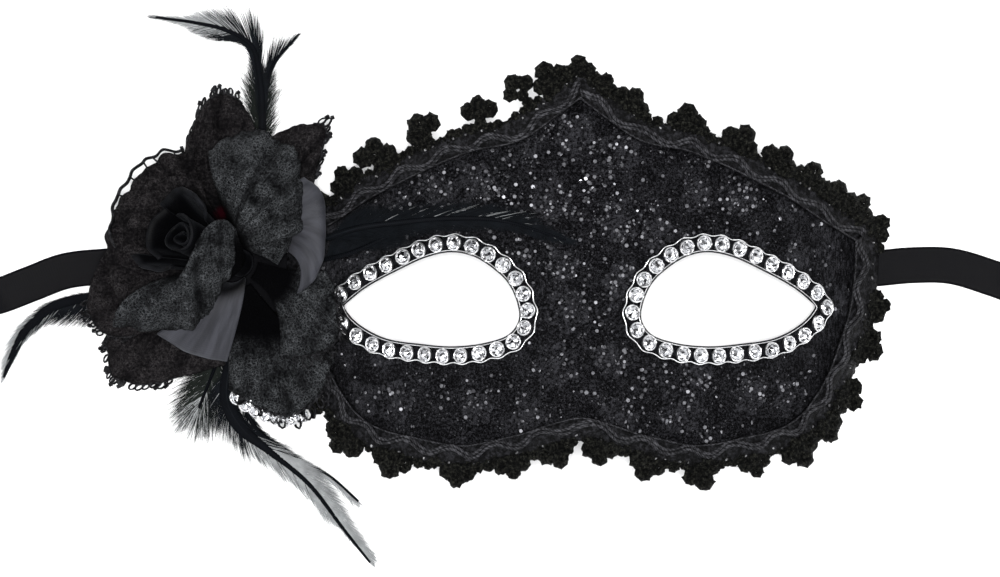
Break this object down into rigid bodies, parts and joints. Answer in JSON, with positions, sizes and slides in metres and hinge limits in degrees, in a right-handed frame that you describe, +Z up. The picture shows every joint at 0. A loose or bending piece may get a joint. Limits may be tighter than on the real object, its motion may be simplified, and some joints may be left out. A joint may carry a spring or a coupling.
{
  "type": "masquerade half mask",
  "caption": "Lace-covered half mask with eye openings in crystal bands, a floret braid edge, a fabric rose with feathers on one temple, and satin ribbon ties.",
  "frame": {"origin": "on the table that the mask lies on, under the middle of its box without the ribbon ties", "axes": "+X across the face from the rose towards the plain temple, +Y up the brow, +Z up from the table and out of the front of the face"},
  "size_m": [0.4124, 0.1522, 0.0607],
  "materials": {
    "shell_plastic": "moulded black plastic, half matt inside",
    "sequin_lace": "black floral lace over net with small silver sequins",
    "braid": "black gimp braid with wavy cords and stitched florets",
    "crystal_banding": "faceted foil-backed stones in bright silver cups",
    "felt": "black felt",
    "rose_satin": "black satin with a soft grey sheen",
    "rose_lace": "black lace on net, corded along the rim",
    "feather": "black dyed feather with a blue sheen and grey downy barbs",
    "ribbon_satin": "black satin ribbon with woven edges"
  },
  "bodies": {
    "root": {"mask_shell": "shell_plastic", "lace_cover": "sequin_lace", "edge_braid": "braid", "crystal_trim_right": "crystal_banding", "crystal_trim_left": "crystal_banding", "rose_backing": "felt", "rose_bud": "rose_satin", "petal_lace_top": "rose_lace", "petal_lace_top_right": "rose_lace", "petal_satin_right": "rose_satin", "petal_lace_lower_right": "rose_lace", "petal_lace_bottom": "rose_lace", "petal_lace_lower_left": "rose_lace", "petal_lace_left": "rose_lace", "petal_lace_upper_left": "rose_lace", "petal_lace_folded": "rose_lace", "petal_lace_inner_left": "rose_lace", "petal_lace_middle_left": "rose_lace", "petal_satin_bottom": "rose_satin", "petal_bud_right": "rose_satin", "petal_bud_left": "rose_satin", "petal_bud_bottom": "rose_satin", "crystal_strip": "crystal_banding", "feather_top_long": "feather", "feather_top_short": "feather", "feather_top_down": "feather", "feather_left": "feather", "feather_lower_long": "feather", "feather_lower_short": "feather", "feather_lower_down": "feather", "feather_brow": "feather", "feather_brow_down": "feather", "ribbon_right": "ribbon_satin", "ribbon_right_coil": "ribbon_satin", "ribbon_left": "ribbon_satin", "ribbon_left_coil": "ribbon_satin"}
  },
  "joints": []
}
